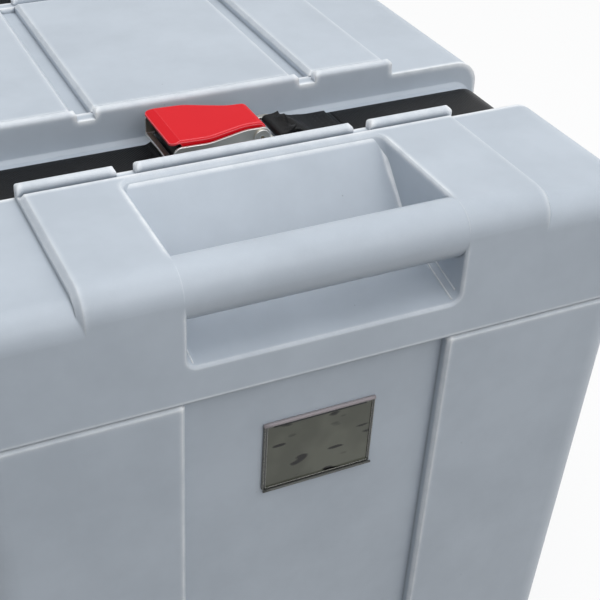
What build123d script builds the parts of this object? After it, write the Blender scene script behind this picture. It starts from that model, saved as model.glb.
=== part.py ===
"""Moulded trunk-style flight case with a lift-off lid held by two webbing straps.

Units are millimetres. X runs across the case, Y from the front end to the rear
end, Z up. The origin is the centre of the footprint, on the floor.
"""
from build123d import *
import os
from math import cos, radians, sin, tan

# Moulded shell
case_width = 418.0
case_length = 600.0
case_height = 400.0
corner_radius = 22.0
wall = 6.0
draft = 1.8
seam_below_top = 84.4
seam_gap = 1.0
outer_drop = 10.0
pad_drop = 3.4
lid_edge_radius = 16.5
tub_edge_chamfer = 9.0
inner_edge_share = 0.6
rim_chamfer = 2.0

# Strap channels across the lid and down both sides
end_zone = 122.0
channel_width = 71.5
channel_depth = 26.4
side_channel_depth = 5.0
channel_corner_radius = 14.0
channel_root_chamfer = 2.5

# Lips along the channels, and the raised pads behind them
lip_width = 6.5
lip_round = 3.0
lip_half_span = 140.0
notch_inner = 70.0
notch_width = 12.0
lip_groove_width = 3.3
lip_groove_depth = 3.0
pad_chamfer = 3.2
middle_pad_chamfer = 2.4
lip_root_depth = 6.0

# Grab handle moulded into each end of the lid
grip_half_width = 83.2
grip_diameter = 34.0
grip_root = 2.0
pocket_back = 106.8
pocket_crease = 85.0
pocket_crease_drop = 39.0
pocket_lip_drop = 61.5
pocket_corner_radius = 6.0
pocket_edge_chamfer = 1.2
pocket_crease_round = 9.0

# Recessed panel at each end of the tub
panel_half_width = 82.0
panel_x = -3.0
panel_depth = 7.0
panel_above_floor = 42.0
panel_round = 3.0
panel_edge_chamfer = 1.6

# Rim tongue, seal and feet
rim_tongue_height = 8.0
rim_tongue_inset = 3.8
rim_tongue_clearance = 0.5
seal_width = 1.6
seal_setback = 1.2
foot_height = 6.0
foot_width = 92.0
foot_length = 84.0
foot_chamfer = 2.5
foot_x = 118.0
foot_strap_gap = 6.0

# Foam
foam_floor_thickness = 40.0
foam_lid_thickness = 19.0
foam_clearance = 1.5
foam_corner = 12.0

# Webbing
webbing_width = 48.0
webbing_thickness = 1.6
webbing_clearance = 0.3
webbing_offset = 2.0

# Buckle: sheet frame, lever, pin and adjuster bar, measured from the strap's centre
# In plan it is wide at its free end and narrows in a soft double curve to the hinge
sheet = 1.5
waist_wide = 51.0
waist_narrow = 31.8
waist_start = -17.0
waist_end = 10.6
waist_round = 28.0
frame_left = -40.5
frame_base_drop = 19.0
frame_left_top_drop = 3.6
frame_right_top_drop = 5.2
frame_corner_round = 5.0
frame_end_radius = 6.3
frame_window_start = -36.5
frame_window_end = -23.0
frame_window_clearance = 0.7
frame_window_through = 0.01
pin_x = 20.6
pin_drop = 11.4
pin_diameter = 4.6
pin_head_diameter = 10.4
pin_head_height = 1.2
pin_hollow_diameter = 2.8
pin_hollow_depth = 4.0
pin_fit = 0.05
lever_fit = 0.08
lever_side_clearance = 0.85
lever_left = -42.0
lever_facet = 6.5
lever_facet_drop = 1.6
lever_corner_round = 4.0
lever_skirt_start = -35.0
lever_skirt_drop = 5.6
lever_sheet = 1.6
lever_edge_chamfer = 1.0
lever_crest_drop_left = 0.6
lever_crest_drop_right = 2.5
lever_nose_x = 19.2
lever_nose_radius = 5.6
lever_nose_end_drop = 6.9
lever_eye_radius = 3.7
claw_x = 6.0
claw_width = 16.0
claw_thickness = 2.0
claw_gap = 0.5
claw_root = 0.8
adjuster_x = -31.0
adjuster_diameter = 4.4
adjuster_above_base = 4.0

# Tongue and its sewn webbing loop
tongue_tip = -14.0
tongue_end = 41.0
tongue_width = 29.6
tongue_thickness = 1.8
tongue_gap = 0.3
tongue_shoulder = 28.5
tongue_end_width = 39.0
tongue_slot_start = 31.0
tongue_slot_width = 31.0
tongue_bar = 4.6
loop_clearance = 0.5
loop_width = 29.0
loop_gather_start = 47.0
loop_gather_end = 66.0
tongue_tip_round = 7.0
tongue_end_chamfer = 1.0
tongue_window_start = -6.0
tongue_window_end = 10.0
tongue_window_width = 18.0
loop_sewn_end = 88.0

# Label holder on the front panel
label_width = 72.0
label_height = 52.0
label_border = 2.2
label_thickness = 2.0
label_back = 0.5
label_card_thickness = 0.4
label_window_thickness = 0.5
label_x = 1.0
label_top_drop = 120.6
label_corner = 1.5
label_edge_chamfer = 0.6

# Worked out from the sizes above
z_outer = case_height - outer_drop
z_pad = case_height - pad_drop
z_seam = case_height - seam_below_top
z_rim = z_seam - seam_gap
z_base = foot_height
z_channel = case_height - channel_depth
tongue_room = rim_tongue_height + rim_tongue_clearance
half_width = case_width / 2
half_length = case_length / 2
front = -half_length
channel_y = half_length - end_zone - channel_width / 2
notch_outer = notch_inner + notch_width
foot_y = channel_y + channel_width / 2 + foot_strap_gap + foot_length / 2
ends = {"front": 1, "rear": -1}
straps = {"front": -channel_y + webbing_offset, "rear": channel_y + webbing_offset}
side_x = half_width - side_channel_depth + webbing_thickness / 2 + webbing_clearance
floor_z = z_channel + webbing_thickness / 2 + webbing_clearance
bend_radius = channel_corner_radius + webbing_thickness / 2 + webbing_clearance
base_z = case_height - frame_base_drop
pin_z = case_height - pin_drop
adjuster_z = base_z + sheet + adjuster_above_base
adjuster_wrap = adjuster_diameter / 2 + webbing_clearance + webbing_thickness / 2
tongue_low = base_z + sheet + tongue_gap
tongue_z = tongue_low + tongue_thickness / 2
loop_wrap = tongue_thickness / 2 + loop_clearance + webbing_thickness / 2


def lean(z):
    """How far the tub's drafted wall has come in at height z."""
    return (z_rim - z) * tan(radians(draft))


def near(value, target):
    """Whether two coordinates are the same place."""
    return abs(value - target) < 0.1


def put(node, name, solid):
    """Write one node and keep its name on the solid."""
    solid.label = name
    export_step(solid, f"parts/{name}.step")
    node[name] = solid


def at_end(solid, end):
    """The front end's solid, or the same solid turned round for the rear end."""
    return solid if end == "front" else solid.rotate(Axis.Z, 180)


def box(x0, x1, y0, y1, z0, z1):
    """An upright box between two corners."""
    size = Box(x1 - x0, y1 - y0, z1 - z0)
    return Pos((x0 + x1) / 2, (y0 + y1) / 2, (z0 + z1) / 2) * size


def profile_yz(points, half):
    """A closed outline in Y and Z, drawn out to half each side of X = 0."""
    face = Plane.YZ * make_face(Polyline(*points, close=True))
    return extrude(face, amount=half, both=True)


def profile_xz(points, half):
    """A closed outline in X and Z, drawn out to half each side of Y = 0."""
    face = Plane.XZ * make_face(Polyline(*points, close=True))
    return extrude(face, amount=half, both=True)


# Plan shapes shared by lid, tub, seal and rim tongue

def plan(inset):
    """The shell's outline at the seam, moved in by inset, with side channels and end panels."""
    outline = RectangleRounded(case_width - 2 * inset, case_length - 2 * inset, corner_radius - inset)
    core = half_width - side_channel_depth - inset
    for side in (-1, 1):
        for y in (-channel_y, channel_y):
            bite = Rectangle(side_channel_depth * 4, channel_width + 2 * inset)
            outline -= Pos(side * (core + side_channel_depth * 2), y) * bite
        panel = Rectangle(2 * (panel_half_width + inset), 2 * (panel_depth + inset))
        outline -= Pos(side * panel_x, side * front) * panel
    return outline


def ring(outer, inner, z0, z1):
    """A rim-shaped ring between two insets and two heights."""
    face = plan(outer) - plan(inner)
    return Pos(0, 0, z0) * extrude(face, amount=z1 - z0)


# Lid

def lid_block(inset):
    """The lid's plain block under its pads, moved in by inset."""
    bottom = z_seam - (2 * inset)
    outline = RectangleRounded(case_width - 2 * inset, case_length - 2 * inset, corner_radius - inset)
    block = Pos(0, 0, bottom) * extrude(outline, amount=z_outer - inset - bottom)
    top = block.faces().sort_by(Axis.Z)[-1].edges()
    if inset:
        return chamfer(top, inner_edge_share * (lid_edge_radius - inset))
    return fillet(top, lid_edge_radius)


def end_pad(inset):
    """The front pad, whose steps run over the lid's corner and die out on its face."""
    rear = front + end_zone - lip_width - lip_groove_width - inset
    start = front + inset
    top = z_pad - inset
    low = z_outer - lid_edge_radius - outer_drop
    with_corner = profile_yz([(start, low), (rear, low), (rear, top), (start, top)], lip_half_span - inset)
    corner = with_corner.edges().filter_by(Axis.X).group_by(Axis.Z)[-1].sort_by(Axis.Y)[0]
    if inset:
        return chamfer(corner, inner_edge_share * (lid_edge_radius - inset))
    pad = fillet(corner, lid_edge_radius)
    steps = [e for e in pad.edges() if near(abs(e.center().X), lip_half_span) and e.center().Z > low + 1]
    return chamfer([e for e in steps if front + 0.1 < e.center().Y < rear - 0.1], pad_chamfer)


def middle_pads():
    """Three pads between the two strap channels."""
    reach = channel_y - channel_width / 2 - lip_width - lip_groove_width
    pads = []
    for x0, x1 in pad_spans:
        pad = box(x0, x1, -reach, reach, z_outer - 1, z_pad)
        pads.append(chamfer(pad.faces().sort_by(Axis.Z)[-1].edges(), middle_pad_chamfer))
    return pads


def lips():
    """The rounded lips on both sides of both channels, broken at the notches."""
    pieces = []
    for y in (-channel_y, channel_y):
        for side in (-1, 1):
            edge = y + side * channel_width / 2
            back = edge + side * lip_width
            y0, y1 = min(edge, back), max(edge, back)
            for x0, x1 in pad_spans:
                lip = box(x0, x1, y0, y1, z_outer - lip_root_depth, case_height)
                pieces.append(fillet(lip.faces().sort_by(Axis.Z)[-1].edges(), lip_round))
            far = edge + side * (lip_width + lip_groove_width + 1)
            s0, s1 = min(edge, far), max(edge, far)
            floor = z_pad - lip_groove_depth
            pieces.append(box(-lip_half_span, lip_half_span, s0, s1, z_outer - 1, floor))
    return pieces


def channel_cut(inset, y, z_low):
    """Everything outside the core that the strap lies on, along one channel."""
    reach = channel_width / 2 + inset
    space = box(-case_width, case_width, y - reach, y + reach, z_low, case_height + 20)
    core_half = half_width - side_channel_depth - inset
    core = box(-core_half, core_half, y - reach - 1, y + reach + 1, z_low - 1, z_channel - inset)
    shoulders = core.edges().filter_by(Axis.Y).group_by(Axis.Z)[-1]
    if inset:
        return space - chamfer(shoulders, inner_edge_share * (channel_corner_radius - inset))
    cut = space - fillet(shoulders, channel_corner_radius)
    roots = [
        e for e in cut.edges()
        if near(abs(e.center().Y - y), reach)
        and abs(e.center().X) < half_width - side_channel_depth + 0.1
        and z_low + 1 < e.center().Z < z_channel + 0.1
    ]
    return chamfer(roots, channel_root_chamfer)


def pocket(inset):
    """The space around the grip: open at the top, sloping down to the front opening."""
    clear = 12.0
    lip = case_height - pocket_lip_drop
    outline = make_face(Polyline(
        (front - clear, case_height + clear),
        (front + pocket_back, case_height + clear),
        (front + pocket_back, z_pad),
        (front + pocket_crease, case_height - pocket_crease_drop),
        (front, lip),
        (front - clear, lip),
        close=True,
    ))
    if inset:
        outline = offset(outline, amount=inset, kind=Kind.INTERSECTION)
    return extrude(Plane.YZ * outline, amount=grip_half_width + inset, both=True)


def rounded_pocket():
    """The pocket with round floor corners, as the opening shows, and a soft crease across it."""
    space = pocket(0)
    sides = [e for e in space.edges() if near(abs(e.center().X), grip_half_width)]
    low = [e for e in sides if e.center().Z < z_pad - 5 and e.center().Y > front - 1]
    low += [e for e in sides if near(e.center().Z, case_height - pocket_lip_drop)]
    space = fillet(low, pocket_corner_radius)
    across = space.edges().filter_by(Axis.X)
    crease = [e for e in across if near(e.center().Z, case_height - pocket_crease_drop)]
    return fillet(crease, pocket_crease_round)


def pocket_rim(shell):
    """The closed line of edges where each pocket meets the lid's skin."""
    rim = []
    for e in shell.edges():
        c = e.center()
        beside = near(abs(c.X), grip_half_width)
        behind = near(abs(c.Y), half_length - pocket_back)
        on_face = near(abs(c.Y), half_length) and abs(c.X) < grip_half_width + 1
        on_top = near(c.Z, z_pad) and (beside or behind)
        on_corner = beside and c.Z > z_pad - lid_edge_radius and abs(c.Y) > half_length - lid_edge_radius
        if on_top or on_corner or (on_face and z_seam + 5 < c.Z < z_pad):
            rim.append(e)
    return rim


def panel_ledge():
    """A ledge inside the lid that covers the tub's rim where the end panel sets it back."""
    rear = front + panel_depth + rim_tongue_inset
    reach = panel_half_width + rim_tongue_inset
    return box(panel_x - reach, panel_x + reach, front + wall / 2, rear, z_seam, z_seam + tongue_room)


def make_lid():
    outside = lid_block(0)
    inside = lid_block(wall)
    for end in ends:
        outside += at_end(end_pad(0), end)
        inside += at_end(end_pad(wall), end)
    outside += middle_pads()
    outside += lips()
    for y in (-channel_y, channel_y):
        outside -= channel_cut(0, y, z_seam - 1)
        inside -= channel_cut(wall, y, z_seam - 20)
    for end in ends:
        outside -= at_end(rounded_pocket(), end)
        inside -= at_end(pocket(wall), end)
    outside = chamfer(pocket_rim(outside), pocket_edge_chamfer)
    lid = outside - inside
    lift = z_pad - grip_diameter / 2
    grip = Rot(0, 90, 0) * Cylinder(grip_diameter / 2, 2 * grip_half_width + 2 * grip_root)
    for end in ends:
        lid += at_end(Pos(0, front + grip_diameter / 2, lift) * grip, end)
        lid += at_end(panel_ledge(), end)
    tongue_space = plan(rim_tongue_inset - rim_tongue_clearance)
    lid -= Pos(0, 0, z_seam - 1) * extrude(tongue_space, amount=tongue_room + 1)
    return lid


# Tub

def tub_block(inset):
    """The drafted tub without channels or panels, moved in by inset."""
    low = z_base + inset
    high = z_rim + (inset and 1)
    sides = []
    for half in (half_width - inset, half_length - inset):
        foot, top = half - lean(low), half - lean(high)
        sides.append([(-foot, low), (foot, low), (top, high), (-top, high)])
    block = profile_xz(sides[0], half_length) & profile_yz(sides[1], half_width)
    corners = [e for e in block.edges() if low + 1 < e.center().Z < high - 1]
    block = fillet(corners, corner_radius - inset)
    return chamfer(block.faces().sort_by(Axis.Z)[0].edges(), tub_edge_chamfer - inset / 2)


def side_channel(inset, y):
    """What is cut from both sides of the tub along one strap."""
    reach = channel_width / 2 + inset
    low = z_base + inset
    high = z_rim + 2
    space = box(-case_width, case_width, y - reach, y + reach, low - 5, high)
    core_half = half_width - side_channel_depth - inset
    core = profile_xz([
        (-core_half + lean(low), low),
        (core_half - lean(low), low),
        (core_half - lean(high + 1), high + 1),
        (-core_half + lean(high + 1), high + 1),
    ], reach + 1)
    corners = core.edges().filter_by(Axis.Y).group_by(Axis.Z)[0]
    if inset:
        core = chamfer(corners, inner_edge_share * (channel_corner_radius - inset))
    else:
        core = fillet(corners, channel_corner_radius)
    return space - Pos(0, y, 0) * core


def panel_cut(inset):
    """The shallow recess in the front of the tub, open at the rim, parallel to its drafted face."""
    top = z_rim + wall
    low = panel_above_floor - inset
    depth = panel_depth + inset
    cut = profile_yz([
        (front - 20, top),
        (front + depth + lean(top), top),
        (front + depth + lean(low), low),
        (front - 20, low),
    ], panel_half_width + inset)
    if not inset:
        beside = [e for e in cut.edges() if near(abs(e.center().X), panel_half_width)]
        cut = fillet([e for e in beside if abs(e.center().Z - low) < 1], panel_round)
    return Pos(panel_x, 0, 0) * cut


def panel_rim(shell):
    """The two upright edges and the sill of each end panel."""
    rim = []
    for e in shell.edges():
        c = e.center()
        on_face = near(abs(c.Y), half_length - lean(c.Z))
        inside_band = abs(c.X) < panel_half_width + abs(panel_x) + 0.1 and c.Z < z_rim - 1
        if on_face and inside_band and c.Z > panel_above_floor - 1:
            rim.append(e)
    return rim


def make_tub():
    outside = tub_block(0)
    inside = tub_block(wall)
    for y in (-channel_y, channel_y):
        outside -= side_channel(0, y)
        inside -= side_channel(wall, y)
    for end in ends:
        outside -= at_end(panel_cut(0), end)
        inside -= at_end(panel_cut(wall), end)
    outside = chamfer(panel_rim(outside), panel_edge_chamfer)
    outside = chamfer(outside.faces().sort_by(Axis.Z)[-1].edges(), rim_chamfer)
    tub = outside - inside
    tub += ring(rim_tongue_inset, wall, z_rim - 1, z_rim + rim_tongue_height)
    for x in (-foot_x, foot_x):
        for y in (-foot_y, 0, foot_y):
            foot = Box(foot_width, foot_length, z_base + 1)
            foot = chamfer(foot.faces().sort_by(Axis.Z)[0].edges(), foot_chamfer)
            tub += Pos(x, y, (z_base + 1) / 2) * foot
    return tub


def make_seal():
    """A thin gasket between rim and lid, set back from the outside."""
    return ring(seal_setback, seal_setback + seal_width, z_rim, z_seam)


# Foam

def foam_base():
    low = z_base + wall
    beside = wall + lean(low) + foam_clearance + tub_edge_chamfer - wall / 2
    width = case_width - 2 * (side_channel_depth + beside)
    length = case_length - 2 * (panel_depth + beside)
    pad = box(-width / 2, width / 2, -length / 2, length / 2, low, low + foam_floor_thickness)
    return chamfer(pad.edges().filter_by(Axis.Z), foam_corner)


def foam_lid():
    top = z_outer - wall
    width = case_width - 2 * (lid_edge_radius + foam_clearance)
    length = 2 * (channel_y - channel_width / 2 - wall - foam_clearance)
    pad = box(-width / 2, width / 2, -length / 2, length / 2, top - foam_lid_thickness, top)
    return chamfer(pad.edges().filter_by(Axis.Z), foam_corner)


# Straps

def ribbon(points, radii, y):
    """Webbing laid along a route in X and Z."""
    route = FilletPolyline(*[(x, y, z) for x, z in points], radius=radii)
    start = Plane(origin=route @ 0, x_dir=(0, 1, 0), z_dir=route % 0)
    return sweep(start * Rectangle(webbing_width, webbing_thickness), path=route)


def webbing_under(y):
    """From the seam on one side, under the tub, to the seam on the other side."""
    stand = webbing_thickness / 2 + webbing_clearance
    side = half_width - side_channel_depth + stand
    low = z_base - stand
    top = z_rim
    bend = channel_corner_radius + stand
    return ribbon(
        [(-side, top), (-side + lean(low), low), (side - lean(low), low), (side, top)],
        [bend, bend],
        y,
    )


def webbing_adjust(y):
    """From the left side over the lid, up round the adjuster bar, and back under the buckle."""
    left = adjuster_x - adjuster_wrap
    right = adjuster_x + adjuster_wrap
    top = adjuster_z + adjuster_wrap
    return ribbon(
        [
            (-side_x, z_seam - 0.5),
            (-side_x, floor_z),
            (left - 18, floor_z),
            (left, base_z - 3),
            (left, top),
            (right, top),
            (right, base_z - 4),
            (right + 10, floor_z),
            (right + 42, floor_z),
        ],
        [bend_radius, 12, 4, adjuster_wrap - 0.02, adjuster_wrap - 0.02, 4, 6],
        y,
    )


def webbing_pull(y):
    """The single layer from the sewn loop to the right side of the lid."""
    return ribbon(
        [(loop_sewn_end + webbing_clearance, floor_z), (side_x, floor_z), (side_x, z_seam - 0.5)],
        [bend_radius],
        y,
    )


def tongue_loop(y):
    """The webbing's end, gathered, folded round the tongue's bar and sewn back on itself."""
    bar_left = tongue_end - tongue_bar
    inner = bar_left - loop_clearance - webbing_thickness / 2
    upper = tongue_z + loop_wrap
    lower = tongue_z - loop_wrap
    webbing = ribbon(
        [
            (loop_sewn_end - 4, floor_z + webbing_thickness + webbing_clearance),
            (loop_sewn_end - 26, floor_z + webbing_thickness + webbing_clearance),
            (tongue_end + 6, upper),
            (inner, upper),
            (inner, lower),
            (tongue_end + 2, lower),
            (loop_sewn_end - 30, floor_z),
            (loop_sewn_end, floor_z),
        ],
        [30, 12, loop_wrap - 0.02, loop_wrap - 0.02, 12, 30],
        y,
    )
    wide, narrow = webbing_width, loop_width / 2
    gathered = make_face(Polyline(
        (0, -narrow), (loop_gather_start, -narrow), (loop_gather_end, -wide / 2), (loop_sewn_end + 9, -wide),
        (loop_sewn_end + 9, wide), (loop_gather_end, wide / 2), (loop_gather_start, narrow), (0, narrow),
        close=True,
    ))
    return webbing & Pos(0, y, 0) * extrude(gathered, amount=case_height)


# Buckle

def waist(inset, left, right, soft=True):
    """The buckle's plan outline between two places in X, moved in by inset, with soft bends or sharp."""
    wide, narrow = waist_wide / 2 - inset, waist_narrow / 2 - inset
    outline = make_face(Polyline(
        (left, -wide), (waist_start, -wide), (waist_end, -narrow), (right, -narrow),
        (right, narrow), (waist_end, narrow), (waist_start, wide), (left, wide),
        close=True,
    ))
    bends = [v for v in outline.vertices() if near(v.X, waist_start) or near(v.X, waist_end)]
    return fillet(bends, waist_round) if soft else outline


def make_frame(y):
    """Stamped channel: a base with a window at the left, and two waisted sides."""
    right = pin_x + frame_end_radius
    high = case_height + 5
    outside = Pos(0, 0, base_z) * extrude(waist(-sheet, frame_left, right), amount=high - base_z)
    within = waist(0, frame_left - 1, right + 1, soft=False)
    space = Pos(0, 0, base_z + sheet) * extrude(within, amount=high)
    left_top = case_height - frame_left_top_drop
    right_top = case_height - frame_right_top_drop
    nose = Pos(pin_x, 0, pin_z) * Rot(90, 0, 0) * Cylinder(frame_end_radius, 2 * waist_wide)
    flank = profile_xz([
        (frame_left, base_z - 1),
        (right, base_z - 1),
        (right, pin_z),
        (pin_x, pin_z),
        (pin_x, right_top),
        (frame_left, left_top),
    ], waist_wide)
    corner = [e for e in flank.edges().filter_by(Axis.Y) if near(e.center().X, frame_left)]
    flank = fillet(max(corner, key=lambda e: e.center().Z), frame_corner_round)
    frame = (outside - space) & (flank + nose)
    reach = webbing_width / 2 + frame_window_clearance
    through = base_z + sheet + frame_window_through
    frame -= box(frame_window_start, frame_window_end, -reach, reach, base_z - 1, through)
    frame -= Pos(pin_x, 0, pin_z) * Rot(90, 0, 0) * Cylinder(pin_diameter / 2 + pin_fit, 2 * waist_wide)
    return Pos(0, y, 0) * frame


def make_pin(y):
    """Semi-tubular hinge rivet with a low head each side and one hollow end."""
    half = waist_narrow / 2 + sheet
    rivet = Rot(90, 0, 0) * Cylinder(pin_diameter / 2, 2 * half)
    for side in (-1, 1):
        head = Pos(0, side * (half + pin_head_height / 2), 0) * Rot(90, 0, 0)
        rivet += head * Cylinder(pin_head_diameter / 2, pin_head_height)
    bore = Cylinder(pin_hollow_diameter / 2, 2 * pin_hollow_depth)
    rivet -= Pos(0, -half - pin_head_height, 0) * Rot(90, 0, 0) * bore
    return Pos(pin_x, y, pin_z) * rivet


def make_adjuster(y):
    """The bar that the strap turns round, welded between the frame's sides."""
    bar = Rot(90, 0, 0) * Cylinder(adjuster_diameter / 2, waist_wide)
    return Pos(adjuster_x, y, adjuster_z) * bar


def lever_outline(shift, drop=lever_facet_drop):
    """Side view of the lever's outside, or of the space inside it when shifted in by its sheet."""
    left_top = case_height - lever_crest_drop_left - shift
    right_top = case_height - lever_crest_drop_right - shift
    nose = lever_nose_radius - shift
    centre = right_top - nose
    start = lever_left - (shift and 1)
    low = pin_z - lever_eye_radius - (shift and 2)
    turn = cos(radians(45)) * nose
    crest = Polyline(
        (lever_nose_x + nose, centre),
        (lever_nose_x + nose, low),
        (start, low),
        (start, left_top - drop),
        (lever_left + lever_facet, left_top),
        (lever_nose_x, right_top),
    )
    bend = ThreePointArc(
        (lever_nose_x, right_top),
        (lever_nose_x + turn, centre + turn),
        (lever_nose_x + nose, centre),
    )
    return Plane.XZ * make_face(Wire(list(crest.edges()) + [bend]))


def make_lever(y):
    """Formed cover with waisted side skirts, a bent free end and a claw over the tongue."""
    end = lever_nose_x + lever_nose_radius + 1
    plan_outside = waist(lever_side_clearance, lever_left, end)
    tips = [v for v in plan_outside.vertices() if near(v.X, lever_left)]
    plan_outside = fillet(tips, lever_corner_round)
    block = extrude(plan_outside, amount=case_height + 5)
    outside = extrude(lever_outline(0, drop=0), amount=waist_wide, both=True) & block
    crest = [f for f in outside.faces() if f.normal_at(f.center()).Z > 0.9 and f.center().X < lever_nose_x]
    fold = [e for f in crest for e in f.edges() if abs(e.center().Y) > 1]
    outside = chamfer(fold, lever_edge_chamfer) & extrude(lever_outline(0), amount=waist_wide, both=True)
    within = waist(lever_side_clearance + lever_sheet, lever_left - 2, end, soft=False)
    inside = extrude(within, amount=case_height + 5)
    lever = outside - (extrude(lever_outline(lever_sheet), amount=waist_wide, both=True) & inside)
    low = pin_z - 2 * lever_nose_radius
    skirt = case_height - lever_skirt_drop
    lever -= profile_xz([
        (lever_left - 1, low),
        (pin_x - lever_eye_radius, low),
        (pin_x - lever_eye_radius, pin_z),
        (pin_x - 2 * lever_eye_radius, skirt - 2),
        (lever_skirt_start + 2, skirt),
        (lever_skirt_start, skirt + 2),
        (lever_skirt_start - 1, case_height - lever_crest_drop_left - lever_sheet),
        (lever_left - 1, case_height - lever_crest_drop_left - lever_sheet - lever_facet_drop),
    ], waist_wide)
    nose_end = case_height - lever_nose_end_drop
    lever -= box(pin_x + lever_eye_radius, end + 1, -waist_wide, waist_wide, low, nose_end)
    eye = Rot(90, 0, 0) * Cylinder(lever_eye_radius, 2 * waist_wide)
    below = box(pin_x - lever_eye_radius - 1, end + 1, -waist_wide, waist_wide, low - 1, pin_z)
    lever -= below - Pos(pin_x, 0, pin_z) * eye
    claw_low = tongue_low + tongue_thickness + claw_gap
    lever += box(
        claw_x - claw_thickness / 2, claw_x + claw_thickness / 2, -claw_width / 2, claw_width / 2,
        claw_low, case_height - lever_crest_drop_right - lever_sheet + claw_root,
    )
    lever -= Pos(pin_x, 0, pin_z) * Rot(90, 0, 0) * Cylinder(pin_diameter / 2 + lever_fit, 2 * waist_wide)
    return Pos(0, y, 0) * lever


def make_tongue(y):
    """Flat plate: a rounded tip with a claw window, and a wider end with the webbing slot."""
    high = tongue_low + tongue_thickness
    tip = box(tongue_tip, tongue_shoulder + 3, -tongue_width / 2, tongue_width / 2, tongue_low, high)
    tip = fillet(tip.edges().filter_by(Axis.Z).group_by(Axis.X)[0], tongue_tip_round)
    wide = tongue_end_width / 2
    end = box(tongue_shoulder, tongue_end, -wide, wide, tongue_low, high)
    plate = tip + chamfer(end.edges().filter_by(Axis.Z), tongue_end_chamfer)
    half = tongue_window_width / 2
    plate -= box(tongue_window_start, tongue_window_end, -half, half, tongue_low - 1, high + 1)
    slot = tongue_slot_width / 2
    plate -= box(tongue_slot_start, tongue_end - tongue_bar, -slot, slot, tongue_low - 1, high + 1)
    return Pos(0, y, 0) * plate


# Label holder

def label_plane(lift):
    """A plane on the front panel, lift in front of its surface."""
    middle = case_height - label_top_drop - label_height / 2
    out = (0, -cos(radians(draft)), -sin(radians(draft)))
    surface = front + panel_depth + lean(middle)
    origin = (label_x, surface + lift * out[1], middle + lift * out[2])
    return Plane(origin=origin, x_dir=(1, 0, 0), z_dir=out)


def make_label_frame():
    plate = extrude(RectangleRounded(label_width, label_height, label_corner), amount=label_thickness)
    plate = chamfer(plate.faces().sort_by(Axis.Z)[-1].edges(), label_edge_chamfer)
    opening = Rectangle(label_width - 2 * label_border, label_height - 2 * label_border)
    plate -= Pos(0, 0, label_back) * extrude(opening, amount=label_thickness)
    return label_plane(0) * plate


def label_sheet(thickness, lift):
    clear = 0.2
    sheet_face = Rectangle(label_width - 2 * label_border - clear, label_height - 2 * label_border - clear)
    return label_plane(lift) * extrude(sheet_face, amount=thickness)


pad_spans = (
    (-lip_half_span, -notch_outer),
    (-notch_inner, notch_inner),
    (notch_outer, lip_half_span),
)

nodes = {}
put(nodes, "lid", make_lid())
put(nodes, "tub", make_tub())
put(nodes, "lid_seal", make_seal())
put(nodes, "foam_base", foam_base())
put(nodes, "foam_lid", foam_lid())
put(nodes, "label_frame", make_label_frame())
put(nodes, "label_card", label_sheet(label_card_thickness, label_back))
put(nodes, "label_window", label_sheet(label_window_thickness, label_back + label_card_thickness + 0.1))
for place, y_strap in straps.items():
    put(nodes, f"webbing_under_{place}", webbing_under(y_strap))
    put(nodes, f"webbing_adjust_{place}", webbing_adjust(y_strap))
    put(nodes, f"webbing_pull_{place}", webbing_pull(y_strap))
    put(nodes, f"tongue_loop_{place}", tongue_loop(y_strap))
    put(nodes, f"tongue_{place}", make_tongue(y_strap))
    put(nodes, f"buckle_frame_{place}", make_frame(y_strap))
    put(nodes, f"hinge_pin_{place}", make_pin(y_strap))
    put(nodes, f"adjuster_bar_{place}", make_adjuster(y_strap))
    put(nodes, f"buckle_lever_{place}", make_lever(y_strap))
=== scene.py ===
"""Looks of a moulded trunk: plastic shell, webbing, red lift-lever buckles, label holder and foam."""
import logging
import math
from dataclasses import dataclass
from enum import Enum

import bmesh
import bpy
from mathutils import Matrix, Vector
from mathutils.bvhtree import BVHTree


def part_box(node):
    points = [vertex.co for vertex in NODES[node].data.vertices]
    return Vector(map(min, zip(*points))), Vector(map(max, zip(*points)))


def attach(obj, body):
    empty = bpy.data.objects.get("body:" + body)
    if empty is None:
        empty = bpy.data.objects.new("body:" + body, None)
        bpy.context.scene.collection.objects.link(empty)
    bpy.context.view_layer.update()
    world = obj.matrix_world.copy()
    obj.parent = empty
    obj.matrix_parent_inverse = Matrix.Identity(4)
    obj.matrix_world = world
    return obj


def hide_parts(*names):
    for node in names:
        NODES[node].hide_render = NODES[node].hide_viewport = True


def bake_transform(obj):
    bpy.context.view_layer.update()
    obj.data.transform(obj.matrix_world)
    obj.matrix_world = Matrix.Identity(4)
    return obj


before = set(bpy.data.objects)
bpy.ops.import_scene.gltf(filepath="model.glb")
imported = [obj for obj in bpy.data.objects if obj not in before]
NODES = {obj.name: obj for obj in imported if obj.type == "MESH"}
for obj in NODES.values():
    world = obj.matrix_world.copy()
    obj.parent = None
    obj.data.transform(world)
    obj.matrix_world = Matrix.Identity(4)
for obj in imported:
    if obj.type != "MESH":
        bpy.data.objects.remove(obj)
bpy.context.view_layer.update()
LOG = logging.getLogger("trunk")
MM = 0.001
# A route counts as straight below this angle, and two points as one below this distance
STRAIGHT = 1e-4
TINY = 1e-6
# A wave texture of scale 1 repeats once in this length
WAVE_UNIT = 0.314
# A range, and perhaps the range that it is stretched to
Span = tuple[float, ...]
Socket = bpy.types.NodeSocket
Tree = bpy.types.NodeTree
Material = bpy.types.Material
Piece = bpy.types.Object


def linear(hex_colour: str) -> tuple[float, float, float, float]:
    """Turn an sRGB hex colour into linear light.

    Args:
        hex_colour: a hash and six hex digits.

    Returns:
        Linear red, green and blue, and an alpha of 1.
    """
    values = [int(hex_colour[i:i + 2], 16) / 255 for i in (1, 3, 5)]
    lin = [v / 12.92 if v <= 0.04045 else ((v + 0.055) / 1.055) ** 2.4 for v in values]
    return (lin[0], lin[1], lin[2], 1.0)


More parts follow.
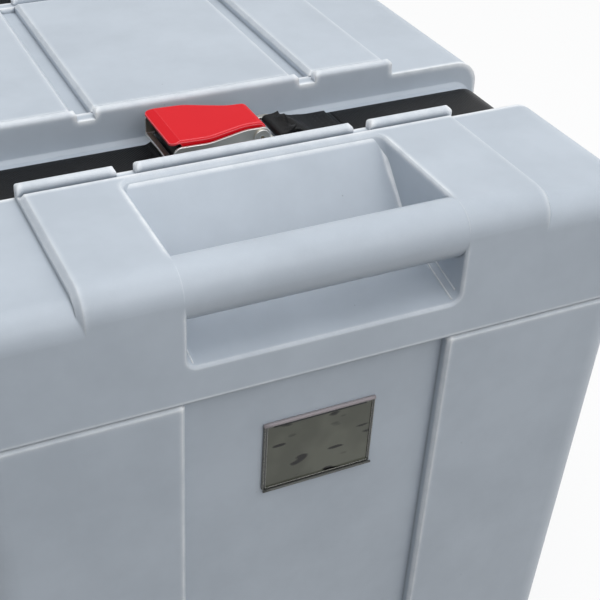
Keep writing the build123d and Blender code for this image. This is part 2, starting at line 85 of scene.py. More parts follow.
def add_node(
    tree: Tree,
    kind: str,
    settings: dict[str, object] | None = None,
    inputs: dict[str | int, object] | None = None,
) -> bpy.types.Node:
    """Add one shader node with its settings, its socket values and its links.

    Args:
        tree: the node tree that gets the node.
        kind: Blender's name of the node type, without its leading ShaderNode.
        settings: attributes of the node itself.
        inputs: per socket, a plain value or the output socket that feeds it.

    Returns:
        The new node.
    """
    node = tree.nodes.new(f"ShaderNode{kind}")
    for key, value in (settings or {}).items():
        setattr(node, key, value)
    for key, value in (inputs or {}).items():
        if isinstance(value, Socket):
            tree.links.new(value, node.inputs[key])
        else:
            node.inputs[key].default_value = value
    return node


def blank_material(name: str) -> tuple[Material, Tree]:
    """Make a material with an empty node tree.

    Args:
        name: what the material is called.

    Returns:
        The material and its tree.
    """
    material = bpy.data.materials.new(name)
    material.use_nodes = True
    material.node_tree.nodes.clear()
    return material, material.node_tree


def close_with(tree: Tree, shader: bpy.types.Node) -> None:
    """Link a shader's first output to a new material output."""
    add_node(tree, "OutputMaterial", None, {"Surface": shader.outputs[0]})


def bump(
    tree: Tree,
    height: Socket,
    depth_mm: float,
    normal: Socket | None = None,
) -> Socket:
    """Turn a height pattern into a surface normal.

    Args:
        tree: the material's tree.
        height: the pattern, from 0 to 1.
        depth_mm: how deep the pattern is, in millimetres.
        normal: the normal that it goes on top of.

    Returns:
        The socket with the new normal.
    """
    inputs: dict[str | int, object] = {"Height": height, "Distance": depth_mm * MM, "Strength": 1.0}
    if normal is not None:
        inputs["Normal"] = normal
    return add_node(tree, "Bump", None, inputs).outputs["Normal"]


def noise(
    tree: Tree,
    grain_mm: float,
    detail: float = 3.0,
    roughness: float = 0.5,
    where: Socket | None = None,
) -> Socket:
    """Noise whose grains are of a real size.

    Args:
        tree: the material's tree.
        grain_mm: the size of one grain, in millimetres.
        detail: how many finer layers it has.
        roughness: how strong the finer layers are.
        where: the coordinates, or none for the object's own.

    Returns:
        The socket with the noise, from 0 to 1.
    """
    if where is None:
        where = add_node(tree, "TexCoord").outputs["Object"]
    inputs = {"Vector": where, "Scale": 1 / (grain_mm * MM), "Detail": detail, "Roughness": roughness}
    return add_node(tree, "TexNoise", None, inputs).outputs["Fac"]


def ramp(tree: Tree, value: Socket, low: float, high: float, to_low: float = 0, to_high: float = 1) -> Socket:
    """Stretch a value from one range to another, held at the ends."""
    inputs = {"Value": value, "From Min": low, "From Max": high, "To Min": to_low, "To Max": to_high}
    return add_node(tree, "MapRange", {"clamp": True}, inputs).outputs["Result"]


def mix(tree: Tree, share: Socket, first: Span | Socket, second: Span | Socket) -> Socket:
    """Mix two colours by a share: 0 gives the first and 1 the second."""
    return add_node(tree, "Mix", {"data_type": "RGBA"}, {0: share, 6: first, 7: second}).outputs[2]


def multiply(tree: Tree, first: Socket, second: Socket | float) -> Socket:
    """Multiply two values."""
    return add_node(tree, "Math", {"operation": "MULTIPLY"}, {0: first, 1: second}).outputs[0]


def openness(tree: Tree, reach: Socket | float, inside: bool) -> Socket:
    """How free a point's surroundings are: low in hollows or, inside the solid, along outer edges."""
    settings = {"samples": 8, "inside": inside, "only_local": True}
    return add_node(tree, "AmbientOcclusion", settings, {"Distance": reach}).outputs["AO"]


def edge_share(tree: Tree, soft: Socket, full_at: float) -> Socket:
    """How strongly a point lies on an outer or inner edge, from how far a rounded normal leans.

    Args:
        tree: the material's tree.
        soft: the rounded normal.
        full_at: the lean, as 1 minus the cosine, that counts as fully on the edge.

    Returns:
        The socket with the share, from 0 to 1.
    """
    true_normal = add_node(tree, "NewGeometry").outputs["Normal"]
    inputs = {0: soft, 1: true_normal}
    same = add_node(tree, "VectorMath", {"operation": "DOT_PRODUCT"}, inputs).outputs["Value"]
    return ramp(tree, same, 1.0, 1.0 - full_at)


def rounded_normal(tree: Tree, radius_mm: float, samples: int) -> Socket:
    """The surface's normal, with its sharp edges rounded."""
    inputs = {"Radius": radius_mm * MM}
    return add_node(tree, "Bevel", {"samples": samples}, inputs).outputs["Normal"]


def belt(tree: Tree, height: Socket, rise_mm: Span, fall_mm: Span) -> Socket:
    """A belt of heights, whose share goes up to 1 along its rise and back to 0 along its fall."""
    risen = ramp(tree, height, rise_mm[0] * MM, rise_mm[1] * MM)
    return multiply(tree, risen, ramp(tree, height, fall_mm[0] * MM, fall_mm[1] * MM, 1, 0))


def principled(
    material: Material, values: dict[str | int, object], settings: dict[str, object] | None = None,
) -> Material:
    """Show a material through one principled shader, and give it back."""
    tree = material.node_tree
    close_with(tree, add_node(tree, "BsdfPrincipled", settings, values))
    return material


@dataclass(frozen=True)
class RotomouldedPolyethylene:
    """Grey polyethylene, rotationally moulded against a blasted mould.

    It gives the eye a satin, slightly waxy skin, uneven from its shrinkage, with
    fine dust specks. Its outer edges get a painted pale highlight, its hollows
    painted shade, and the gap at its joint a painted dark shadow line.
    """

    body: str = "#BAC3CD"
    cloud: str = "#B2BBC5"
    cloud_mm: float = 55.0
    cloud_span: Span = (0.35, 0.65)
    # painted shade: hollows are darkened towards this colour
    painted_hollow_shade: str = "#66717D"
    hollow_mm: float = 4.0
    hollow_shade_span: Span = (0.75, 0.4, 0.0, 0.7)
    # painted highlight: outer edges are paled towards this colour
    edge: str = "#F2F5F8"
    edge_round_mm: float = 1.6
    edge_reach_mm: float = 2.8
    lip_reach_mm: float = 4.4
    edge_span: Span = (0.96, 0.66)
    edge_free_span: Span = (0.5, 0.75)
    highlight_breakup_mm: float = 14.0
    highlight_breakup_span: Span = (0.3, 0.6, 0.55, 1.0)
    skirt_rise_mm: Span = (315.0, 315.5)
    skirt_fall_mm: Span = (368.0, 380.0)
    joint_fall_mm: Span = (316.2, 317.0)
    joint_edge_share: float = 0.1
    # painted shadow: a dark line in the gap at the joint, darker where closed in
    painted_gap_shade: str = "#22262B"
    gap_rise_mm: Span = (314.3, 314.7)
    gap_fall_mm: Span = (315.7, 316.1)
    gap_free_span: Span = (0.85, 0.6)
    speck: str = "#7E8891"
    speck_spacing_mm: float = 26.0
    speck_size_mm: float = 0.55
    speck_share: float = 0.7
    skin_mm: float = 0.9
    skin_depth_mm: float = 0.012
    sink_mm: float = 90.0
    sink_depth_mm: float = 0.5
    ior: float = 1.51
    roughness: float = 0.4
    glow: float = 0.12
    glow_depth_mm: float = 2.5

    def painted_edge_highlight(self, tree: Tree, where: Socket, height: Socket, free: Socket) -> Socket:
        """How strongly the painted highlight pales an outer edge, widest on the lips and least along the
        joint.

        Args:
            tree: the material's tree.
            where: the object's own coordinates.
            height: the point's height.
            free: how free its surroundings are.

        Returns:
            The socket with the share, from 0 to 1.
        """
        skirt = belt(tree, height, self.skirt_rise_mm, self.skirt_fall_mm)
        reach = ramp(tree, skirt, 0.0, 1.0, self.lip_reach_mm * MM, self.edge_reach_mm * MM)
        share = ramp(tree, openness(tree, reach, inside=True), *self.edge_span)
        share = multiply(tree, share, ramp(tree, free, *self.edge_free_span))
        # noise breaks the painted edge highlight up unevenly
        highlight_breakup = ramp(tree, noise(tree, self.highlight_breakup_mm, 3, 0.6, where), *self.highlight_breakup_span)
        joint = belt(tree, height, self.skirt_rise_mm, self.joint_fall_mm)
        kept = ramp(tree, joint, 0.0, 1.0, 1.0, self.joint_edge_share)
        return multiply(tree, multiply(tree, share, highlight_breakup), kept)

    def colour(self, tree: Tree, where: Socket) -> Socket:
        """The plastic's colour with its clouds, painted shade in hollows, painted edge highlights, a painted
        shadow in the joint's gap, and specks.

        Args:
            tree: the material's tree.
            where: the object's own coordinates.

        Returns:
            The socket with the colour.
        """
        clouds = ramp(tree, noise(tree, self.cloud_mm, 4, 0.6, where), *self.cloud_span)
        colour = mix(tree, clouds, linear(self.body), linear(self.cloud))
        free = openness(tree, self.hollow_mm * MM, inside=False)
        # painted shade: darker where the surroundings are closed in
        colour = mix(tree, ramp(tree, free, *self.hollow_shade_span), colour, linear(self.painted_hollow_shade))
        height = add_node(tree, "SeparateXYZ", None, {0: where}).outputs["Z"]
        # painted highlight: outer edges paled towards near-white
        colour = mix(tree, self.painted_edge_highlight(tree, where, height, free), colour, linear(self.edge))
        # painted shadow: dark band along the joint's gap
        gap = belt(tree, height, self.gap_rise_mm, self.gap_fall_mm)
        gap = multiply(tree, gap, ramp(tree, free, *self.gap_free_span))
        colour = mix(tree, gap, colour, linear(self.painted_gap_shade))
        cells = {"Vector": where, "Scale": 1 / (self.speck_spacing_mm * MM), "Randomness": 1.0}
        spots = add_node(tree, "TexVoronoi", None, cells).outputs["Distance"]
        size = self.speck_size_mm / self.speck_spacing_mm
        specks = ramp(tree, spots, size, size / 2, 0.0, self.speck_share)
        return mix(tree, specks, colour, linear(self.speck))

    def material(self) -> Material:
        """Build the material.

        Returns:
            The polyethylene material.
        """
        material, tree = blank_material("rotomoulded_polyethylene")
        where = add_node(tree, "TexCoord").outputs["Object"]
        soft = rounded_normal(tree, self.edge_round_mm, 8)
        normal = bump(tree, noise(tree, self.sink_mm, 1, 0.3, where), self.sink_depth_mm, soft)
        normal = bump(tree, noise(tree, self.skin_mm, 2, 0.5, where), self.skin_depth_mm, normal)
        return principled(material, {
            "Base Color": self.colour(tree, where), "Roughness": self.roughness, "IOR": self.ior,
            "Normal": normal, "Subsurface Weight": self.glow,
            "Subsurface Scale": self.glow_depth_mm * MM, "Subsurface Radius": (1.0, 1.0, 1.0),
        }, {"subsurface_method": "RANDOM_WALK"})


@dataclass(frozen=True)
class NickelPlatedSteel:
    """Stamped and folded steel sheet, barrel nickel plated.

    It gives the eye a warm bright metal that mirrors softly, with a thin white
    highlight painted along its rounded edges.
    """

    body: str = "#D2CEC4"
    edge: str = "#FFFFFF"
    roughness: float = 0.36
    edge_round_mm: float = 0.9
    wave_mm: float = 9.0
    wave_depth_mm: float = 0.05
    edge_lean: float = 0.04

    def material(self) -> Material:
        """Build the material.

        Returns:
            The nickel material.
        """
        material, tree = blank_material("nickel_plated_steel")
        soft = rounded_normal(tree, self.edge_round_mm, 6)
        lit_edge = edge_share(tree, soft, self.edge_lean)
        return principled(material, {
            # painted highlight: the colour turns white along rounded edges
            "Base Color": mix(tree, lit_edge, linear(self.body), linear(self.edge)),
            "Metallic": 1.0, "Roughness": self.roughness,
            "Normal": bump(tree, noise(tree, self.wave_mm, 2), self.wave_depth_mm, soft),
        })


@dataclass(frozen=True)
class StovedRedEnamel:
    """Red enamel, sprayed on pressed steel and stoved.

    It gives the eye a deep, even red with a soft gloss and slight orange peel,
    and a pale pink highlight painted along its folds and edges.
    """

    body: str = "#D4101E"
    # pale pink of the painted highlight along folds and edges
    edge: str = "#F58088"
    ior: float = 1.2
    roughness: float = 0.5
    coat: float = 0.02
    coat_roughness: float = 0.2
    edge_round_mm: float = 1.0
    peel_mm: float = 1.1
    edge_lean: float = 0.05
    fold_highlight_span: Span = (0.05, 0.8, 0.0, 0.85)
    peel_depth_mm: float = 0.008

    def material(self) -> Material:
        """Build the material.

        Returns:
            The enamel material.
        """
        material, tree = blank_material("stoved_red_enamel")
        soft = rounded_normal(tree, self.edge_round_mm, 6)
        normal = bump(tree, noise(tree, self.peel_mm, 2), self.peel_depth_mm, soft)
        # painted highlight: pale pink where the rounded normal leans, along folds and edges
        fold_highlight = ramp(tree, edge_share(tree, soft, self.edge_lean), *self.fold_highlight_span)
        return principled(material, {
            "Base Color": mix(tree, fold_highlight, linear(self.body), linear(self.edge)),
            "Roughness": self.roughness, "IOR": self.ior, "Normal": normal,
            "Coat Weight": self.coat, "Coat Roughness": self.coat_roughness, "Coat Normal": normal,
        })


@dataclass(frozen=True)
class WovenPolyesterWebbing:
    """Black polyester webbing, woven in a two-up twill.

    It gives the eye a dark strap with fine slanting ribs and a slight sheen
    along its threads. Real threads are about 0.5 mm apart, too fine to show, so
    the ribs are drawn 1.6 mm apart.
    """

    thread: str = "#0A0A0C"
    gap: str = "#030304"
    ior: float = 1.3
    roughness: float = 0.42
    sheen: float = 0.05
    sheen_roughness: float = 0.4
    sheen_tint: str = "#8C8F99"
    rib_mm: float = 1.6
    rib_wobble: float = 0.25
    rib_angle: float = math.radians(38)
    rib_depth_mm: float = 0.14
    thread_mm: float = 0.8
    thread_wobble: float = 0.1
    thread_low: float = 0.6

    def bands(self, tree: Tree, where: Socket, pitch_mm: float, wobble: float, detail: float) -> Socket:
        """Soft, slightly uneven bands across a coordinate."""
        scale = WAVE_UNIT / (pitch_mm * MM)
        inputs = {"Vector": where, "Scale": scale, "Distortion": wobble, "Detail": detail}
        return add_node(tree, "TexWave", {"bands_direction": "X"}, inputs).outputs["Fac"]

    def material(self) -> Material:
        """Build the material. Its coordinates are the strap's own, in metres across and along.

        Returns:
            The webbing material.
        """
        material, tree = blank_material("woven_polyester_webbing")
        where = add_node(tree, "UVMap", {"uv_map": "strap"}).outputs["UV"]
        turn = {"Vector": where, "Angle": self.rib_angle, "Axis": (0, 0, 1)}
        slanted = add_node(tree, "VectorRotate", None, turn).outputs["Vector"]
        ribs = self.bands(tree, slanted, self.rib_mm, self.rib_wobble, 1.0)
        warp = self.bands(tree, where, self.thread_mm, self.thread_wobble, 0.0)
        weave = multiply(tree, ribs, ramp(tree, warp, 0.0, 1.0, self.thread_low, 1.0))
        return principled(material, {
            "Base Color": mix(tree, weave, linear(self.gap), linear(self.thread)),
            "Roughness": self.roughness, "IOR": self.ior, "Normal": bump(tree, weave, self.rib_depth_mm),
            "Sheen Weight": self.sheen, "Sheen Roughness": self.sheen_roughness,
            "Sheen Tint": linear(self.sheen_tint),
        })


@dataclass(frozen=True)
class SewingThread:
    """Bonded nylon thread, sewn in black on black. It gives the eye small glossy dashes."""

    body: str = "#1E1E22"
    roughness: float = 0.35

    def material(self) -> Material:
        """Build the material."""
        material = blank_material("bonded_nylon_thread")[0]
        return principled(material, {"Base Color": linear(self.body), "Roughness": self.roughness})


@dataclass(frozen=True)
class SmokedAcetateWindow:
    """Dark acetate sheet, cut flat and sprung into its holder.

    It gives the eye a thin glossy olive window, cloudy where it stands off the
    card, with a few almost black patches painted in as dark reflections.
    """

    body: str = "#65675C"
    cloud: str = "#56584E"
    # near-black colour of the painted dark reflections
    dark_reflection: str = "#0B0C0A"
    ior: float = 1.3
    roughness: float = 0.12
    coat: float = 0.2
    coat_roughness: float = 0.04
    cloud_mm: float = 30.0
    cloud_span: Span = (0.4, 0.6)
    patch_mm: float = 13.0
    patch_span: Span = (0.72, 0.8)
    patch_turn: float = 0.25
    patch_squash: float = 3.2
    wave_mm: float = 16.0
    wave_depth_mm: float = 0.5

    def material(self) -> Material:
        """Build the material.

        Returns:
            The window material.
        """
        material, tree = blank_material("smoked_acetate")
        normal = bump(tree, noise(tree, self.wave_mm, 1, 0.3), self.wave_depth_mm)
        where = add_node(tree, "TexCoord").outputs["Object"]
        tilt = {"Vector": where, "Rotation": (0, self.patch_turn, 0), "Scale": (1, 1, self.patch_squash)}
        flat = add_node(tree, "Mapping", None, tilt).outputs["Vector"]
        # painted reflection: near-black patches stand for dark reflections in the sheet
        patches = ramp(tree, noise(tree, self.patch_mm, 0, 0.4, flat), *self.patch_span)
        clouds = ramp(tree, noise(tree, self.cloud_mm, 2, 0.5, where), *self.cloud_span)
        colour = mix(tree, clouds, linear(self.body), linear(self.cloud))
        return principled(material, {
            "Base Color": mix(tree, patches, colour, linear(self.dark_reflection)),
            "Roughness": self.roughness, "IOR": self.ior, "Normal": normal,
            "Coat Weight": self.coat, "Coat Roughness": self.coat_roughness, "Coat Normal": normal,
        })


@dataclass(frozen=True)
class PlainFinish:
    """A simple even finish for a small or hidden part."""

    name: str
    body: str
    roughness: float
    grain_mm: float = 0.0
    grain_depth_mm: float = 0.0
    edge_round_mm: float = 0.0
    edge: str = ""
    edge_lean: float = 0.1

    def material(self) -> Material:
        """Build the material.

        Returns:
            The finish's material.
        """
        material, tree = blank_material(self.name)
        values: dict[str | int, object] = {"Base Color": linear(self.body), "Roughness": self.roughness}
        if self.edge_round_mm:
            values["Normal"] = rounded_normal(tree, self.edge_round_mm, 4)
        # painted highlight: the edge colour is mixed in along rounded edges
        if self.edge:
            share = edge_share(tree, values["Normal"], self.edge_lean)
            values["Base Color"] = mix(tree, share, linear(self.body), linear(self.edge))
        if self.grain_mm:
            below = values.get("Normal")
            values["Normal"] = bump(tree, noise(tree, self.grain_mm, 2), self.grain_depth_mm, below)
        return principled(material, values)


class Slot(Enum):
    """The record's material slots."""

    SHELL = "polyethylene"
    SEAL = "seal_rubber"
    FOAM = "foam"
    HOLDER = "label_frame"
    CARD = "label_card"
    WINDOW = "label_window"
    WEBBING = "webbing"
    NICKEL = "plated_steel"
    ENAMEL = "red_paint"


class Place(Enum):
    """The two straps and the two grips, by their end of the case."""

    FRONT = "front"
    REAR = "rear"


FINISHES: dict[Slot, Material] = {
    Slot.SHELL: RotomouldedPolyethylene().material(),
    Slot.SEAL: PlainFinish("extruded_rubber", "#15171A", 0.7, grain_mm=1.2, grain_depth_mm=0.03).material(),
    Slot.FOAM: PlainFinish(
        "cut_polyethylene_foam", "#2B2C2F", 0.95, grain_mm=1.4, grain_depth_mm=0.5,
    ).material(),
    # the holder's pale edge colour is a painted highlight
    Slot.HOLDER: PlainFinish(
        "black_anodised_aluminium", "#343634", 0.3, grain_mm=3.0, grain_depth_mm=0.02, edge_round_mm=0.6,
        edge="#C4C4BC",
    ).material(),
    Slot.CARD: PlainFinish("plain_card", "#565A4C", 0.8).material(),
    Slot.WINDOW: SmokedAcetateWindow().material(),
    Slot.WEBBING: WovenPolyesterWebbing().material(),
    Slot.NICKEL: NickelPlatedSteel().material(),
    Slot.ENAMEL: StovedRedEnamel().material(),
}
THREAD = SewingThread().material()
ROLLED_LIP = PlainFinish(
    "rolled_aluminium", "#9A9296", 0.28, grain_mm=5.0, grain_depth_mm=0.05, edge_round_mm=0.2,
).material()


def dress(piece: Piece, slot: Slot) -> Piece:
    """Give a piece the finish of one of the record's slots.

    Args:
        piece: the object.
        slot: its material slot.

    Returns:
        The same object.
    """
    piece.data.materials.clear()
    piece.data.materials.append(FINISHES[slot])
    return piece


def mesh_object(
    name: str,
    points: list[Vector],
    faces: list[tuple[int, ...]],
    uvs: list[tuple[float, float]] | None = None,
) -> Piece:
    """Make a smooth-shaded mesh object in the scene.

    Args:
        name: the piece's name.
        points: its corners, in metres.
        faces: its faces.
        uvs: one coordinate for each corner of each face, in turn, or none.

    Returns:
        The new object.
    """
    mesh = bpy.data.meshes.new(name)
    mesh.from_pydata([tuple(p) for p in points], [], faces)
    if uvs is not None:
        layer = mesh.uv_layers.new(name="strap")
        layer.data.foreach_set("uv", [c for uv in uvs for c in uv])
    mesh.polygons.foreach_set("use_smooth", [True] * len(mesh.polygons))
    mesh.update()
    piece = bpy.data.objects.new(name, mesh)
    bpy.context.scene.collection.objects.link(piece)
    return piece


def tube_faces(rings: int, count: int) -> list[tuple[int, ...]]:
    """The faces of a tube closed at both ends.

    Args:
        rings: how many rings of points it has.
        count: how many points each ring has.

    Returns:
        The sides, then the first end and the last.
    """
    faces: list[tuple[int, ...]] = []
    for i in range(0, (rings - 1) * count, count):
        for j in range(count):
            k = (j + 1) % count
            faces.append((i + j, i + k, i + count + k, i + count + j))
    last = (rings - 1) * count
    return faces + [tuple(range(count - 1, -1, -1)), tuple(range(last, last + count))]


@dataclass
class Bend:
    """One corner of a strap's route, in the plane of X and Z, in metres."""

    x: float
    z: float
    radius: float = 0.0


def rounded_route(
    bends: list[Bend], step: float = 2.2 * MM, turn_step: float = math.radians(9),
) -> list[Vector]:
    """Sample a route with round corners at nearly even steps.

    Args:
        bends: the route's corners, the ends included.
        step: the spacing along straight stretches.
        turn_step: the angle between points along a round corner.

    Returns:
        Points in the plane of X and Z, with Y at 0.
    """
    corners = [Vector((b.x, 0, b.z)) for b in bends]
    line: list[Vector] = [corners[0]]
    for i in range(1, len(bends) - 1):
        before = (corners[i - 1] - corners[i]).normalized()
        after = (corners[i + 1] - corners[i]).normalized()
        angle = before.angle(after)
        if bends[i].radius <= 0 or abs(angle - math.pi) < STRAIGHT:
            line.append(corners[i])
            continue
        cut = bends[i].radius / math.tan(angle / 2)
        centre = corners[i] + (before + after).normalized() * (bends[i].radius / math.sin(angle / 2))
        start = corners[i] + before * cut
        arm = start - centre
        sweep = math.pi - angle
        axis = arm.cross(corners[i] + after * cut - centre)
        turns = max(4, round(sweep / turn_step))
        for k in range(turns + 1):
            line.append(centre + Matrix.Rotation(sweep * k / turns, 3, axis) @ arm)
    line.append(corners[-1])
    dense: list[Vector] = [line[0]]
    for point in line[1:]:
        gap = (point - dense[-1]).length
        if gap < TINY:
            continue
        parts = max(1, math.ceil(gap / step))
        first = dense[-1].copy()
        dense += [first.lerp(point, (k + 1) / parts) for k in range(parts)]
    return dense


def smooth_share(value: float, low: float, high: float) -> float:
    """How far a value has come from low to high, from 0 to 1 with soft ends."""
    share = min(1.0, max(0.0, (value - low) / (high - low)))
    return share * share * (3 - 2 * share)


@dataclass
class Gather:
    """How webbing is drawn together towards the tongue, in folds that fan out from it."""

    width: float
    start_x: float
    end_x: float
    folds: float = 1.7
    phase: float = 0.6
    rise: float = 1.9 * MM
    fan: float = 60.0
    flat_to: float = 9 * MM
    free_from: float = 1 * MM
    across: int = 40

    def place(self, x: float, side: float, full: float) -> tuple[float, float]:
        """Where a point of the flat strap goes.

        Args:
            x: the point's place along the case.
            side: its place across the flat strap, from the strap's middle.
            full: the strap's full width.

        Returns:
            Its new place across, and how far it is lifted.
        """
        drawn = 1 - smooth_share(x, self.start_x, self.end_x)
        narrow = side * (1 + (self.width / full - 1) * drawn)
        free = smooth_share(x, self.start_x - self.flat_to, self.start_x - self.free_from)
        turn = 2 * math.pi * self.folds * side / full + self.phase + self.fan * (x - self.start_x)
        wave = math.sin(turn)
        return narrow, self.rise * drawn * free * wave


@dataclass
class Webbing:
    """A length of flat webbing laid along a route, with round selvages."""

    name: str
    centre_y: float
    bends: list[Bend]
    gather: Gather | None = None
    width: float = 48 * MM
    thickness: float = 1.6 * MM
    selvage: float = 0.8 * MM
    selvage_turns: int = 4
    across: int = 10

    def section(self) -> list[tuple[float, float]]:
        """The strap's cross-section as offsets across the width and through the thickness.

        Returns:
            A closed ring of points.
        """
        half, thick = self.width / 2, self.thickness / 2
        flat = half - self.selvage
        ring: list[tuple[float, float]] = []
        for sign in (1, -1):
            for k in range(self.across + 1):
                ring.append((sign * (-flat + 2 * flat * k / self.across), sign * thick))
            for k in range(1, self.selvage_turns):
                turn = math.pi * k / self.selvage_turns
                ring.append((sign * (flat + self.selvage * math.sin(turn)), sign * thick * math.cos(turn)))
        return ring

    def build(self) -> Piece:
        """Make the strap's mesh.

        Returns:
            The strap.
        """
        route = rounded_route(self.bends)
        ring = self.section()
        count = len(ring)
        points: list[Vector] = []
        along: list[float] = []
        travelled = 0.0
        for i, point in enumerate(route):
            ahead = route[min(i + 1, len(route) - 1)] - route[max(i - 1, 0)]
            ahead.normalize()
            up = Vector((-ahead.z, 0, ahead.x))
            travelled += (point - route[i - 1]).length if i else 0.0
            along.append(travelled)
            for side, lift in ring:
                fold = 0.0
                if self.gather:
                    side, fold = self.gather.place(point.x, side, self.width)
                points.append(point + Vector((0, self.centre_y + side, fold)) + up * lift)
        sides = [side for side, _ in ring]
        uvs: list[tuple[float, float]] = []
        for near, far in zip(along, along[1:]):
            for j, side in enumerate(sides):
                after = sides[(j + 1) % count]
                uvs += [(side, near), (after, near), (after, far), (side, far)]
        uvs += [(side, along[0]) for side in reversed(sides)] + [(side, along[-1]) for side in sides]
        faces = tube_faces(len(route), count)
        return dress(mesh_object(self.name, points, faces, uvs), Slot.WEBBING)


@dataclass
class BoxStitch:
    """Rows of stitches through the doubled webbing, each stitch a small raised dash."""

    name: str
    low: Vector
    high: Vector
    rows: int = 6
    stitch: float = 2.6 * MM
    gap: float = 1.0 * MM
    thread: float = 0.45 * MM
    edge: float = 4.0 * MM
    sunk: float = -0.2
    profile: tuple[tuple[float, float], ...] = ((-1.0, -0.2), (-0.5, 0.35), (0.5, 0.35), (1.0, -0.2))

    def build(self) -> Piece:
        """Make all the stitches as one mesh, each a low humped lozenge.

        Returns:
            The stitches.
        """
        points: list[Vector] = []
        low, high = self.low.y + self.edge, self.high.y - self.edge
        across = int((high - low) / (self.stitch + self.gap))
        half, wide = self.stitch / 2, self.thread / 2
        for row in range(self.rows):
            x = self.low.x + (self.high.x - self.low.x) * (row + 0.5) / self.rows
            for k in range(across):
                centre = Vector((x, low + (k + 0.5) * (high - low) / across, self.high.z))
                for end, rise in self.profile:
                    for side in (-1, 0, 1):
                        lift = self.thread * (self.sunk if side else rise)
                        points.append(centre + Vector((side * wide, end * half, lift)))
        faces: list[tuple[int, ...]] = []
        for first in range(0, len(points), 3 * len(self.profile)):
            for i in range(len(self.profile) - 1):
                for a in (first + 3 * i, first + 3 * i + 1):
                    faces.append((a, a + 1, a + 4, a + 3))
        piece = mesh_object(self.name, points, faces)
        piece.data.materials.append(THREAD)
        return piece


